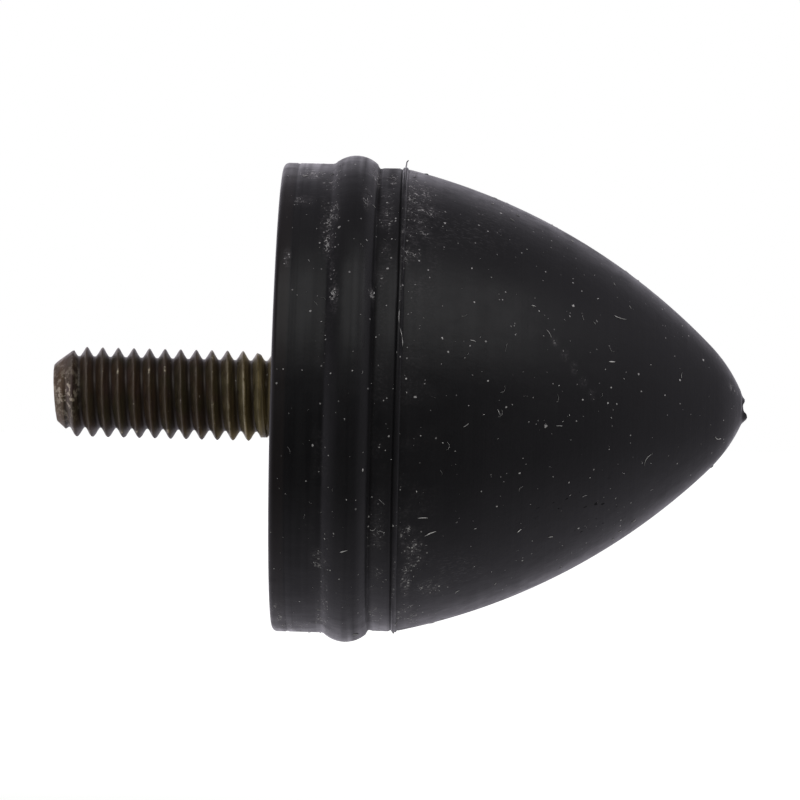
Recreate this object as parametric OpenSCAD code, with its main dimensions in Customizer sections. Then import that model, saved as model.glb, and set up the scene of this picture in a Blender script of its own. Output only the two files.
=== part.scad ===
// Anti-vibration mount: a bullet-shaped rubber buffer moulded round a steel
// plate, with a threaded stud pressed into the plate from the rubber's side.
//
// Sizes are in millimetres. The axis lies along X: the nose points to +X and
// the stud to -X. The origin is at the centre of the seating face.
//
// Everything is turned. Each section is drawn with its radius along x and its
// distance from the seating face along y, and on_axis() turns it round X.

/* [Rubber buffer] */
// Diameter of the skirt, the straight part next to the seating face
skirt_d = 30; // [25:0.5:40]
// Distance from the seating face to the tip of the nose
buffer_len = 29.8; // [24:0.1:40]
// Radius on the back edge of the skirt
back_edge_r = 0.5; // [0.2:0.1:1]
// Distance from the seating face to the line that the mould's back plate leaves
back_line_pos = 1.1; // [1.1:0.05:1.6]

/* [Bead] */
// How far the bead stands out from the skirt
bead_proud = 0.57; // [0.3:0.01:1.2]
// Radius of the bead's section
bead_r = 2; // [1.6:0.1:2.4]
// Distance from the seating face to the middle of the bead
bead_pos = 4.65; // [3.4:0.05:5.6]
// Radius of the hollow where the skirt runs up into the bead
bead_foot_r = 0.6; // [0.3:0.1:1]

/* [Parting line] */
// Distance from the seating face to the mould's parting line
parting_pos = 7.75; // [6.45:0.05:12]
// How far the band behind the parting line lies below the skirt
band_recess = 0.18; // [0.05:0.01:0.4]
// Width of the ridge that the mould leaves
parting_w = 0.4; // [0.2:0.05:0.6]
// Height of that ridge
parting_h = 0.12; // [0.05:0.01:0.2]
// Width of the fine groove on each side of the ridge
groove_w = 0.12; // [0.06:0.01:0.2]
// Depth of those grooves
groove_depth = 0.05; // [0.02:0.01:0.1]

/* [Nose] */
// Radius of the long arc from the parting line forwards
flank_r = 40.4; // [34:0.1:60]
// Radius of the arc between the flank and the tip
nose_r = 9.7; // [6:0.1:12]
// Radius of the tip
tip_r = 3; // [1.5:0.1:5]
// Slope where the tip begins, in degrees from the axis
tip_slope = 64.5; // [58:0.5:75]

/* [Gate stub] */
// Diameter of the torn stub that the gate leaves on the tip
gate_d = 1.3; // [0.8:0.1:2]
// How far its rim stands beyond the tip
gate_proud = 0.1; // [0.05:0.05:0.5]
// Width of the rim
gate_rim_w = 0.1; // [0.05:0.01:0.2]
// Depth of the hollow that was torn out of it
gate_dish = 0.15; // [0.1:0.01:0.3]

/* [Base plate] */
// Thickness of the plate
plate_t = 2; // [1:0.1:4]
// Rubber that wraps the plate's edge, measured along the radius
edge_wrap = 1.5; // [0.8:0.1:3]
// Radius on the plate's edge, on the rubber's side
plate_edge_r = 0.5; // [0.2:0.1:0.9]

/* [Threaded stud] */
// Outer diameter of the thread
stud_d = 6; // [4:0.5:10]
// Free length beyond the seating face
stud_len = 14.5; // [8:0.5:40]
// Length of the 45 degree chamfer at its end
stud_chamfer = 1.1; // [0.3:0.1:1.5]
// How much the smooth neck in the plate is larger than the thread, per side
neck_step = 0.5; // [0.2:0.1:1]
// Clearance between the neck and the plate's hole, per side; 0 is a press fit
neck_clear = 0; // [0:0.01:0.1]
// Width of the head's rim beyond the neck
head_rim = 2.5; // [1:0.1:4]
// Thickness of the head
head_t = 2.5; // [1.5:0.1:4]
// Radius on the head's top edge
head_edge_r = 0.7; // [0.2:0.1:1.2]

/* [Hidden] */

turn_fn = 240;
arc_fn = 720;
// Longer than any section, for the shapes that trim one
reach = skirt_d + buffer_len;
// How far the hollow at the bead's foot cuts into the skirt and the bead
foot_bite = 0.01;

skirt_r = skirt_d / 2;
band_r = skirt_r - band_recess;
plate_r = skirt_r - edge_wrap;
stud_r = stud_d / 2;
neck_r = stud_r + neck_step;
head_r = neck_r + head_rim;

// Radius of the circle whose cap is so wide and so high
function cap_radius(wide, high) = (wide ^ 2 / 4 + high ^ 2) / (2 * high);

// Outward normal of a surface that slopes so many degrees from the axis
function normal(slope) = [cos(slope), sin(slope)];

// The point that is ra from a and rb from b, on the left of the way from a to b
function meeting(a, b, ra, rb) =
  let (
    gap = norm(b - a),
    way = (b - a) / gap,
    along = (gap ^ 2 + ra ^ 2 - rb ^ 2) / (2 * gap),
    aside = sqrt(ra ^ 2 - along ^ 2)
  )
  a + along * way + aside * [-way.y, way.x];

// The nose is three arcs, each tangent to the next: flank, nose and tip. The
// tip's centre lies on the axis. The flank starts at the edge of the band.
tip_centre = [0, buffer_len - tip_r];
tip_start = tip_centre + tip_r * normal(tip_slope);
nose_centre = tip_start - nose_r * normal(tip_slope);
flank_start = [band_r, parting_pos];
flank_centre = meeting(flank_start, nose_centre, flank_r, flank_r - nose_r);
flank_way = nose_centre - flank_centre;
nose_slope = atan2(flank_way.y, flank_way.x);
nose_start = nose_centre + nose_r * normal(nose_slope);

// The hollow at the bead's foot nearly touches both the skirt and the bead
bead_centre = [skirt_r + bead_proud - bead_r, bead_pos];
foot_r = skirt_r + bead_foot_r - foot_bite;
foot_gap = bead_r + bead_foot_r - foot_bite;
foot_centre = [foot_r, bead_pos - sqrt(foot_gap ^ 2 - (foot_r - bead_centre.x) ^ 2)];
foot_end = bead_centre + (foot_centre - bead_centre) * bead_r / foot_gap;

// The parting ridge is a cap of a circle, and so is the section of a groove.
// The grooves lie a quarter of their width beyond the ridge's foot.
ridge_r = cap_radius(parting_w, parting_h);
groove_r = cap_radius(groove_w, groove_depth);
groove_off = parting_w / 2 + groove_w / 4;

gate_r = gate_d / 2;
gate_rim = buffer_len + gate_proud;
dish_r = cap_radius(gate_d - 2 * gate_rim_w, gate_dish);

// Turns a section round the axis of the mount
module on_axis() {
  rotate([0, 90, 0]) rotate_extrude($fn = turn_fn) children();
}

// The part of a section between two distances from the seating face
module band(r, from, to) {
  polygon([[0, from], [r, from], [r, to], [0, to]]);
}

// A circle, true enough for the arcs of a section
module round(r) {
  circle(r = r, $fn = arc_fn);
}

// Cuts a square corner down to a round one. side is 1 where the corner points
// towards the nose and -1 where it points towards the stud.
module corner_cut(corner, r, side) {
  translate(corner)
    difference() {
      translate([-r, side > 0 ? -r : -1]) square(r + 1);
      translate([-r, -side * r]) round(r);
    }
}

// Places what follows at the centre of the nose arc
module at_nose() {
  translate(tip_centre) rotate(tip_slope) translate([tip_r - nose_r, 0]) children();
}

// Places what follows at the centre of the flank arc
module at_flank() {
  at_nose() rotate(nose_slope - tip_slope) translate([nose_r - flank_r, 0]) children();
}

module flank_outline() {
  intersection() {
    at_flank() round(flank_r);
    band(reach, parting_pos, nose_start.y);
  }
}

module nose_outline() {
  intersection() {
    at_nose() round(nose_r);
    band(reach, nose_start.y, tip_start.y);
  }
}

// The tip, with the stub that the gate tore off
module tip_outline() {
  difference() {
    union() {
      intersection() {
        translate(tip_centre) round(tip_r);
        band(reach, tip_start.y, buffer_len);
      }
      band(gate_r, tip_start.y, gate_rim);
    }
    translate([0, gate_rim - gate_dish + dish_r]) round(dish_r);
  }
}

// Skirt and bead, with the hollow where one runs up into the other
module skirt_outline() {
  difference() {
    union() {
      difference() {
        band(skirt_r, 0, bead_pos);
        corner_cut([skirt_r, 0], back_edge_r, -1);
      }
      translate(bead_centre) round(bead_r);
      polygon([
        [skirt_r - foot_bite, foot_centre.y],
        foot_end,
        [skirt_r - foot_bite, foot_end.y]
      ]);
    }
    translate(foot_centre) round(bead_foot_r);
  }
}

// The section of a fine groove in a surface of this radius
module groove(r, distance) {
  translate([r + groove_r - groove_depth, distance]) round(groove_r);
}

// Outer section of the rubber
module buffer_outline() {
  difference() {
    union() {
      skirt_outline();
      band(band_r, bead_pos, parting_pos);
      translate([band_r + parting_h - ridge_r, parting_pos]) round(ridge_r);
      flank_outline();
      nose_outline();
      tip_outline();
    }
    groove(skirt_r, back_line_pos);
    groove(band_r, parting_pos - groove_off);
    groove(band_r, parting_pos + groove_off);
  }
}

// Section of the plate without its hole
module plate_outline() {
  difference() {
    band(plate_r, 0, plate_t);
    corner_cut([plate_r, plate_t], plate_edge_r, 1);
  }
}

// Section of the stud's neck, in the plate, and of its head, in the rubber
module anchor_outline() {
  band(neck_r, 0, plate_t);
  difference() {
    band(head_r, plate_t, plate_t + head_t);
    corner_cut([head_r, plate_t + head_t], head_edge_r, 1);
  }
}

// Section of the free part of the stud
module shank_outline() {
  polygon([
    [0, -stud_len],
    [stud_r - stud_chamfer, -stud_len],
    [stud_r, stud_chamfer - stud_len],
    [stud_r, 0],
    [0, 0]
  ]);
}

module rubber_buffer() {
  color("#26262b")
    on_axis()
      difference() {
        buffer_outline();
        plate_outline();
        anchor_outline();
      }
}

module base_plate() {
  color("#a8935a")
    on_axis()
      difference() {
        plate_outline();
        band(neck_r + neck_clear, 0, plate_t);
      }
}

module threaded_stud() {
  color("#6b6040")
    on_axis() {
      anchor_outline();
      shank_outline();
    }
}

rubber_buffer();
base_plate();
threaded_stud();
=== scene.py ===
# %% [markdown]
# # Anti-vibration mount
#
# A bullet-shaped rubber buffer is moulded round a steel plate, and a threaded
# stud is pressed into the plate from the rubber's side. The buffer meets what
# it has to stop, and the stud fixes the mount.
#
# The packed CAD model is loaded first and stays as it is. It says where every
# piece goes.

# %% Load the packed model
from math import acos, atan2, ceil, cos, degrees, hypot, pi, radians, sin, sqrt, tan

import bmesh
import bpy
from mathutils import Matrix, Vector


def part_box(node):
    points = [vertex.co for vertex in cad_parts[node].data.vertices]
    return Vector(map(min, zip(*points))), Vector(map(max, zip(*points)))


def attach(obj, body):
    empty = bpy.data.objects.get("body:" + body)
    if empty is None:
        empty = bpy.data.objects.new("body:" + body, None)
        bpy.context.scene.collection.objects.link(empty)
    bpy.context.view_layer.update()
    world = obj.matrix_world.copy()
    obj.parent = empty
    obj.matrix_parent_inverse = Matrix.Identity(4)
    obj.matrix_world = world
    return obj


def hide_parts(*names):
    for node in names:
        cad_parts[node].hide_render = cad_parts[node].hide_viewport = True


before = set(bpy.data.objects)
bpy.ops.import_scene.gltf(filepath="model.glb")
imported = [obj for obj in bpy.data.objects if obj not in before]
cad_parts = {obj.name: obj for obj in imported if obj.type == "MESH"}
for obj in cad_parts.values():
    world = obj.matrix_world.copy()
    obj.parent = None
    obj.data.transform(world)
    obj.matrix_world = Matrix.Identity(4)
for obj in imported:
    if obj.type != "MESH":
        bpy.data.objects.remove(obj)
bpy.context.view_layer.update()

# %% [markdown]
# ## Sizes
#
# The sizes are in millimetres, as on a drawing, and MM turns them into metres.
# Two measures place a point of a turned piece: its distance from the seating
# face along the axis, and its radius. The seating face is at 0, the nose points
# to +X and the stud to -X.

# %% Sizes of the pieces
MM = 0.001

plate_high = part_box("base_plate")[1]
stud_low, stud_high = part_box("threaded_stud")
buffer_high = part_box("rubber_buffer")[1]

PLATE_R, PLATE_T = plate_high.z / MM, plate_high.x / MM
STUD_END, HEAD_TOP = stud_low.x / MM, stud_high.x / MM
GATE_RIM, BEAD_TOP = buffer_high.x / MM, buffer_high.z / MM

NECK_R = 3.5
HEAD_R = 6.0
SKIRT_R = 15.0
BAND_R = 14.82
HEAD_EDGE_R = 0.7
PLATE_EDGE_R = 0.5

# Vertices that lie nearer than this are one
MERGE = 0.0005 * MM
print(f"plate {PLATE_R:.2f} x {PLATE_T:.2f}, stud end {STUD_END:.2f}, rim {GATE_RIM:.2f}")

# %% [markdown]
# ## Helpers for node trees
#
# Geometry and materials are both built from nodes. Four lines for each node
# would hide the idea, so the first class adds a node and fills its sockets. The
# second one stands for a node's output, which can be reckoned with like a
# number: a * b adds the node that multiplies.

# %% Helpers that add and wire nodes
class Tree:
    """One node tree, and short ways to add nodes to it."""

    def __init__(self, group):
        self.group = group

    def add(self, kind, inputs=None, **options):
        node = self.group.nodes.new(kind)
        for name, value in options.items():
            setattr(node, name, value)
        return self.fill(node, inputs or {})

    def fill(self, node, inputs):
        """Fills sockets, each with a constant or with another node's output."""
        for key, value in inputs.items():
            if isinstance(value, Value):
                self.group.links.new(value.socket, node.inputs[key])
            else:
                node.inputs[key].default_value = value
        return node

    def get(self, kind, inputs=None, output=0, **options):
        """Adds a node and returns one of its outputs."""
        return Value(self, self.add(kind, inputs, **options).outputs[output])

    def outputs(self, kind, inputs=None, **options):
        """Adds a node and returns its outputs by their names."""
        sockets = self.add(kind, inputs, **options).outputs
        return {socket.name: Value(self, socket) for socket in sockets}

    def math(self, operation, *values):
        return self.get("ShaderNodeMath", dict(enumerate(values)), operation=operation)

    def least(self, first, second):
        return self.math("MINIMUM", first, second)

    def most(self, first, *others):
        for other in others:
            first = self.math("MAXIMUM", first, other)
        return first

    def xyz(self, x=0.0, y=0.0, z=0.0):
        return self.get("ShaderNodeCombineXYZ", {0: x, 1: y, 2: z})


class Value:
    """A node's output: a number, a vector or a colour."""

    def __init__(self, tree, socket):
        self.tree = tree
        self.socket = socket

    def __add__(self, other):
        return self.tree.math("ADD", self, other)

    def __sub__(self, other):
        return self.tree.math("SUBTRACT", self, other)

    def __rsub__(self, other):
        return self.tree.math("SUBTRACT", other, self)

    def __mul__(self, other):
        return self.tree.math("MULTIPLY", self, other)

    def __truediv__(self, other):
        return self.tree.math("DIVIDE", self, other)

    def __pow__(self, other):
        return self.tree.math("POWER", self, other)

    def __abs__(self):
        return self.tree.math("ABSOLUTE", self)

    def ramp(self, low, high, start=0.0, end=1.0):
        """Goes smoothly from start to end while the value goes from low to high."""
        inputs = {0: self, 1: low, 2: high, 3: start, 4: end}
        return self.tree.get("ShaderNodeMapRange", inputs, interpolation_type="SMOOTHSTEP")

    def fall(self, low, high):
        """1 up to the low value, and smoothly down to 0 at the high one."""
        return self.ramp(low, high, 1.0, 0.0)

    def mix(self, first, second):
        """The first colour where the value is 0 and the second where it is 1."""
        return self.tree.get("ShaderNodeMix", {0: self, 6: first, 7: second}, 2, data_type="RGBA")

    def part(self, name):
        """The X, Y or Z of a vector, or the red, green or blue of a colour."""
        return self.tree.get("ShaderNodeSeparateXYZ", {0: self}, name)

    def parts(self, names="XYZ"):
        return [self.part(name) for name in names]

    def vector(self, operation, other):
        return self.tree.get("ShaderNodeVectorMath", {0: self, 1: other}, operation=operation)

    def length(self):
        return self.tree.get("ShaderNodeVectorMath", {0: self}, "Value", operation="LENGTH")

    def noise(self, scale, detail=2.0, roughness=0.5, output="Fac"):
        inputs = {"Vector": self, "Scale": scale, "Detail": detail, "Roughness": roughness}
        return self.tree.get("ShaderNodeTexNoise", inputs, output)

    def streaks(self, scales, detail=2.0, roughness=0.5):
        """Noise with one scale along the mount's axis and another across it."""
        along_axis, across = scales
        return self.vector("MULTIPLY", (along_axis, across, across)).noise(1.0, detail, roughness)


print("a value can do:", [name for name in vars(Value) if "_" not in name])

# %% [markdown]
# A Geometry Nodes tree needs its group sockets declared before it can be used.
# The values of a modifier are stored under each socket's identifier, so they
# are looked up by name, and that happens before the tree first runs. The last
# helper turns the result into a plain mesh, closes it and points its faces
# outwards.

# %% Helpers for geometry trees
def geometry_tree(name, inputs):
    """A geometry tree with these inputs, listed by kind, and the inputs by their names."""
    group = bpy.data.node_groups.new(name, "GeometryNodeTree")
    for way in ("INPUT", "OUTPUT"):
        group.interface.new_socket("Geometry", in_out=way, socket_type="NodeSocketGeometry")
    for kind, labels in inputs.items():
        for label in labels:
            group.interface.new_socket(label, in_out="INPUT", socket_type="NodeSocket" + kind)
    tree = Tree(group)
    return tree, tree.outputs("NodeGroupInput")


def end_tree(tree, given, shape):
    """Makes the shape real, gives it its finish and hands it out."""
    real = tree.get("GeometryNodeRealizeInstances", {0: shape})
    done = tree.get("GeometryNodeSetMaterial", {0: real, "Material": given["Finish"]})
    tree.add("NodeGroupOutput", {0: done})
    print(f"{tree.group.name}: {len(tree.group.nodes)} nodes")
    return tree


def shape_with(piece, tree, values):
    """Gives a piece a geometry tree and the values of its named inputs."""
    modifier = piece.modifiers.new("shape", "NODES")
    modifier.node_group = tree.group
    for item in tree.group.interface.items_tree:
        if item.in_out == "INPUT" and item.name in values:
            modifier[item.identifier] = values[item.name]


def new_piece(name, mesh=None):
    """An object at the origin, linked to the scene."""
    piece = bpy.data.objects.new(name, mesh or bpy.data.meshes.new(name))
    bpy.context.scene.collection.objects.link(piece)
    return piece


def settle(piece, sharp=35, merge=MERGE):
    """Turns the evaluated piece into a plain closed mesh with its faces outwards."""
    depsgraph = bpy.context.evaluated_depsgraph_get()
    mesh = bpy.data.meshes.new_from_object(piece.evaluated_get(depsgraph), depsgraph=depsgraph)
    piece.modifiers.clear()
    piece.data = mesh
    work = bmesh.new()
    work.from_mesh(mesh)
    bmesh.ops.remove_doubles(work, verts=work.verts, dist=merge)
    bmesh.ops.dissolve_degenerate(work, edges=work.edges, dist=merge)
    loose = [v for v in work.verts if not v.link_faces]
    bmesh.ops.delete(work, geom=loose, context="VERTS")
    bmesh.ops.recalc_face_normals(work, faces=work.faces)
    open_edges = sum(len(e.link_faces) != 2 for e in work.edges)
    volume = work.calc_volume(signed=True) / MM ** 3
    work.to_mesh(mesh)
    work.free()
    mesh.shade_smooth()
    mesh.set_sharp_from_angle(angle=radians(sharp))
    triangles = sum(len(p.vertices) - 2 for p in mesh.polygons)
    print(f"{piece.name}: {triangles} triangles, {open_edges} open edges, {volume:.1f} mm3")

# %% [markdown]
# ## The rubber's section
#
# The mould for the rubber is turned, so the buffer follows one section: the
# pocket that holds the plate and the stud's head, the skirt with its bead, the
# parting line, and a nose of three arcs that run into each other without a
# corner. The arcs are worked out from their radii, as a toolmaker would do it.
# Each function returns points as (distance from the seating face, radius).

# %% The arcs of the section
def arc(centre, radius, start, end, step=0.2):
    """Points of an arc. 0 degrees points away from the axis and 90 to the nose."""
    count = max(2, ceil(abs(radians(end - start)) * radius / step))
    angles = [radians(start + (end - start) * i / count) for i in range(count + 1)]
    return [(centre[0] + radius * sin(a), centre[1] + radius * cos(a)) for a in angles]


def line(start, end, step=0.8):
    """Points of a straight line, without its first one."""
    count = max(1, ceil(hypot(end[0] - start[0], end[1] - start[1]) / step))
    shares = [(i + 1) / count for i in range(count)]
    return [(start[0] + (end[0] - start[0]) * s, start[1] + (end[1] - start[1]) * s)
            for s in shares]


FLANK_RADIUS, NOSE_RADIUS, TIP_RADIUS = 40.4, 9.7, 3.0
TIP_SLOPE = 64.5
BUFFER_LEN = 29.8
PARTING = 7.75

tip_centre = (BUFFER_LEN - TIP_RADIUS, 0.0)
tip_start = arc(tip_centre, TIP_RADIUS, TIP_SLOPE, TIP_SLOPE + 1)[0]
nose_centre = arc(tip_start, -NOSE_RADIUS, TIP_SLOPE, TIP_SLOPE + 1)[0]

# The flank's centre is one radius from its start and lies in line with the nose's
reach = (nose_centre[0] - PARTING, nose_centre[1] - BAND_R)
gap = hypot(*reach)
inner = FLANK_RADIUS - NOSE_RADIUS
along = (gap ** 2 + FLANK_RADIUS ** 2 - inner ** 2) / (2 * gap)
aside = sqrt(FLANK_RADIUS ** 2 - along ** 2)
flank_centre = (PARTING + (along * reach[0] + aside * reach[1]) / gap,
                BAND_R + (along * reach[1] - aside * reach[0]) / gap)
nose_slope = degrees(atan2(nose_centre[0] - flank_centre[0], nose_centre[1] - flank_centre[1]))
print(f"the flank turns into the nose at a slope of {nose_slope:.1f} degrees")

# %% [markdown]
# The bead stands out beside two hollows. Rubber follows every tool mark, so the
# hollows get their small radii here too. A fine groove runs round the skirt
# where the mould's back plate ends. At the parting line the two halves of the
# mould meet: rubber is squeezed into the joint and leaves a low double ridge
# between two fine grooves.

# %% The whole section, from the axis inside to the edge of the stub
BEAD_RADIUS, BEAD_PLACE = 2.0, 4.65
FOOT_RADIUS = 0.35
BACK_EDGE_R = 0.36
# The bead's arc stops at this height over the band
BEAD_STOP = 0.24
BAND_END, FLANK_START = 7.30, 8.12
STUB_SLOPE = 71

# Distance and height over the skirt
BACK_LINE = [(0.86, 0.0), (0.95, -0.035), (1.03, -0.035), (1.12, 0.0)]
# Distance from the bead's front foot and height over the band
UNDERCUT = [(0.07, 0.10), (0.14, -0.02), (0.21, -0.06), (0.32, -0.04), (0.46, -0.01)]
# Distance and height over the band
RIDGE = [(7.40, 0.0), (7.47, -0.03), (7.57, -0.08), (7.63, 0.01), (7.68, 0.06), (7.73, 0.05),
         (7.78, 0.03), (7.83, 0.05), (7.88, 0.07), (7.93, 0.02), (7.97, -0.06), (8.02, -0.07)]

bead_centre = (BEAD_PLACE, BEAD_TOP - BEAD_RADIUS)
foot_gap = BEAD_RADIUS + FOOT_RADIUS
foot_height = SKIRT_R + FOOT_RADIUS - bead_centre[1]
foot_centre = (BEAD_PLACE - sqrt(foot_gap ** 2 - foot_height ** 2), SKIRT_R + FOOT_RADIUS)
foot_angle = degrees(acos(foot_height / foot_gap))
bead_end = degrees(acos((BAND_R + BEAD_STOP - bead_centre[1]) / BEAD_RADIUS))

head_edge = (HEAD_TOP - HEAD_EDGE_R, HEAD_R - HEAD_EDGE_R)
pocket = [(HEAD_TOP, 0.0)]
pocket += line(pocket[-1], (HEAD_TOP, head_edge[1]), 2)
pocket += arc(head_edge, HEAD_EDGE_R, 90, 0)[1:]
pocket += line(pocket[-1], (PLATE_T, HEAD_R), 2)
pocket += line(pocket[-1], (PLATE_T, PLATE_R - PLATE_EDGE_R), 2)
pocket += arc((PLATE_T - PLATE_EDGE_R, PLATE_R - PLATE_EDGE_R), PLATE_EDGE_R, 90, 0)[1:]
pocket += line(pocket[-1], (0.0, PLATE_R), 1)

skirt = line(pocket[-1], (0.0, SKIRT_R - BACK_EDGE_R), 0.3)
skirt += arc((BACK_EDGE_R, SKIRT_R - BACK_EDGE_R), BACK_EDGE_R, -90, 0, 0.08)[1:]
skirt += [(distance, SKIRT_R + height) for distance, height in BACK_LINE]
skirt += line(skirt[-1], (foot_centre[0], SKIRT_R), 0.35)
foot = arc(foot_centre, FOOT_RADIUS, 180, 180 - foot_angle, 0.08)[1:]
bead = arc(bead_centre, BEAD_RADIUS, -foot_angle, bead_end, 0.13)[1:]
undercut = [(bead[-1][0] + ahead, BAND_R + height) for ahead, height in UNDERCUT]
band = line(undercut[-1], (BAND_END, BAND_R), 0.35)
parting = [(distance, BAND_R + height) for distance, height in RIDGE]

flank_slope = degrees(atan2(FLANK_START - flank_centre[0], BAND_R - flank_centre[1]))
flank = arc(flank_centre, FLANK_RADIUS, flank_slope, nose_slope, 0.32)
nose = arc(nose_centre, NOSE_RADIUS, nose_slope, TIP_SLOPE, 0.24)[1:]
tip = arc(tip_centre, TIP_RADIUS, TIP_SLOPE, STUB_SLOPE, 0.1)[1:]

outside = skirt + foot + bead + undercut + band + parting + flank + nose + tip
section = pocket + outside
print(f"{len(section)} points so far, the last at {section[-1][0]:.2f}, {section[-1][1]:.2f}")

# %% [markdown]
# Dust and fibres are placed on the rubber further on, and for that the section
# is read the other way round: it gives the radius at a distance.

# %% The radius at a distance
def surface_radius(distance):
    """The rubber's outer radius at a distance from the seating face."""
    for before, after in zip(outside, outside[1:]):
        if before[0] <= distance < after[0]:
            share = (distance - before[0]) / (after[0] - before[0])
            return before[1] + (after[1] - before[1]) * share
    raise ValueError(f"no surface at {distance}")


print(f"radius on the band {surface_radius(7.0):.2f} and on the nose {surface_radius(20.0):.2f}")

# %% [markdown]
# The mould is filled through a gate at the tip. When the part is pulled out the
# gate's rubber tears off, and a small ragged stub with a hollow stays behind.

# %% The gate's stub
# Depth below the stub's rim and radius
STUB = [(0.21, 0.88), (0.14, 0.78), (0.07, 0.70), (0.02, 0.63), (0.03, 0.55), (0.08, 0.45),
        (0.13, 0.33), (0.15, 0.15), (0.15, 0.0)]
section += [(GATE_RIM - depth, radius) for depth, radius in STUB]
print(f"the rubber's section has {len(section)} points")

# %% [markdown]
# ## Turning the section
#
# The tree gets the section's points as loose vertices. It makes a flat grid
# with one row for each point, and moves every grid vertex to its point, turned
# round X. Merging by distance then closes the seam and the two poles. Spin or
# the Screw modifier could do that as well, but a tree can also move the rows it
# knows about. These steps are helpers, because the thread needs them again.

# %% Helpers that turn points round the axis
def turned_grid(tree, rows, turns):
    """A grid, the row of each of its vertices, and the vertex's share of a turn."""
    columns = turns + 1
    grid = tree.get("GeometryNodeMeshGrid", {"Vertices X": rows, "Vertices Y": columns})
    index = tree.get("GeometryNodeInputIndex")
    row = tree.math("FLOOR", (index + 0.5) / columns)
    return grid, row, (index - row * columns) / turns


def listed_point(tree, points, index):
    """The distance and the radius of one of the section's points."""
    inputs = {"Geometry": points, "Value": tree.get("GeometryNodeInputPosition"), "Index": index}
    return tree.get("GeometryNodeSampleIndex", inputs, data_type="FLOAT_VECTOR").parts("XY")


def side_and_height(tree, share):
    """Where a share of a turn points: 1 to the side is -Y, and 1 in height is up."""
    turn = tree.math("FRACT", share) * (2 * pi)
    return tree.math("COSINE", turn), tree.math("SINE", turn)


def turned_place(tree, distance, radius, side, height):
    return tree.xyz(distance, radius * side * -1.0, radius * height)


def end_grid(tree, given, grid, place):
    """Moves the grid's vertices to their places and closes the seams."""
    moved = tree.get("GeometryNodeSetPosition", {"Geometry": grid, "Position": place})
    closed = tree.get("GeometryNodeMergeByDistance", {0: moved, "Distance": MERGE})
    return end_tree(tree, given, closed)

# %% [markdown]
# The ridge at the parting line is never quite even, because the rubber was
# squeezed further in some places than in others. The stub at the tip was torn
# off, so its rim is ragged. A noise moves both, and the rest stays true.

# %% The turning tree
def turning_tree():
    tree, given = geometry_tree("turn_section", {
        "Int": ["Turns"], "Material": ["Finish"],
        "Float": ["Ridge Place", "Ridge Ripple", "Tear Place", "Tear Depth"]})
    rows = tree.get("GeometryNodeAttributeDomainSize", {0: given["Geometry"]})
    grid, row, share = turned_grid(tree, rows, given["Turns"])
    distance, radius = listed_point(tree, given["Geometry"], row)
    side, height = side_and_height(tree, share)

    ripple = tree.xyz(0, side, height).noise(9, 4, 0.65) - 0.5
    on_ridge = abs(distance - given["Ridge Place"]).fall(0.12 * MM, 0.24 * MM)
    outer = tree.math("GREATER_THAN", radius, (BAND_R - 0.12) * MM)
    lifted = radius + ripple * on_ridge * given["Ridge Ripple"] * outer
    turned = turned_place(tree, distance, lifted, side, height)

    # The stub's rim was pulled out most at the bottom and tore off short at the sides
    torn = distance.ramp(given["Tear Place"], given["Tear Place"] + 0.3 * MM)
    rag = turned.noise(1900, 3, 0.6) - 0.5
    short = abs(height - 0.1).ramp(0.2, 0.8, -1.25, 0)
    rim = (height.ramp(-1, 0.6, 0.9, -0.3) + short) * radius.ramp(0.15 * MM, 0.5 * MM)
    pull = (rag * 0.9 + rim) * torn * given["Tear Depth"]
    return end_grid(tree, given, grid, turned.vector("ADD", tree.xyz(pull)))


turn_section = turning_tree()

# %% [markdown]
# ## Rubber
#
# Moulded rubber is black all through. Its look comes from its surface: a fine
# grain, faint rings that the turned mould leaves, flow marks along the nose,
# pale streaks, small pits and a thin film of dust. Rings of painted highlight and
# painted shade run round it, the pits get painted shade, and the creases grime
# and painted shade. All of it reads Object coordinates, so the pattern stays on
# the piece.

# %% Helpers for materials
def material(name):
    """A material, its tree, its Principled shader, and the place on the piece."""
    made = bpy.data.materials.new(name)
    made.use_nodes = True
    tree = Tree(made.node_tree)
    place = tree.get("ShaderNodeTexCoord", output="Object")
    return made, tree, made.node_tree.nodes["Principled BSDF"], place


def relief(tree, layers):
    """Bumps on top of each other, as height, strength and depth in millimetres."""
    normal = {}
    for height, strength, depth in layers:
        inputs = {"Height": height, "Strength": strength, "Distance": depth * MM, **normal}
        normal = {"Normal": tree.get("ShaderNodeBump", inputs)}
    return normal["Normal"]


def axis_radius(place):
    """How far a place is from the mount's axis."""
    across, height = place.parts("YZ")
    return place.tree.math("SQRT", across ** 2.0 + height ** 2.0)


def axis_angle(place):
    """The angle round the axis: 0 faces -Y, and a quarter turn is up."""
    across, height = place.parts("YZ")
    return place.tree.math("ARCTAN2", height, across * -1.0)


def near(distance, middle, reach_mm):
    """1 at one distance from the seating face, and down to 0 within reach_mm."""
    return abs(distance - middle * MM).fall(0, reach_mm * MM)

# %% [markdown]
# Dust stays where a cloth doesn't reach: in the hollow behind the bead, on the
# band in front of it and beside the parting line, and there mostly on the upper
# and the lower side, where nobody wipes. That is a rule, so it follows from the
# place on the piece. Other patches were left by chance, and a list says where.
# The finish uses the dust here and the scattered lint uses it later.

# %% Where dust collects
# Distance and reach of the hollow behind the bead and of the band in front of it
HOLLOWS = [(3.2, 0.9), (6.7, 0.9)]
# Dust begins beside the ridge between the first two distances, and ends between the others
BESIDE_RIDGE = (7.6, 8.1, 8.5, 11.0)

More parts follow.
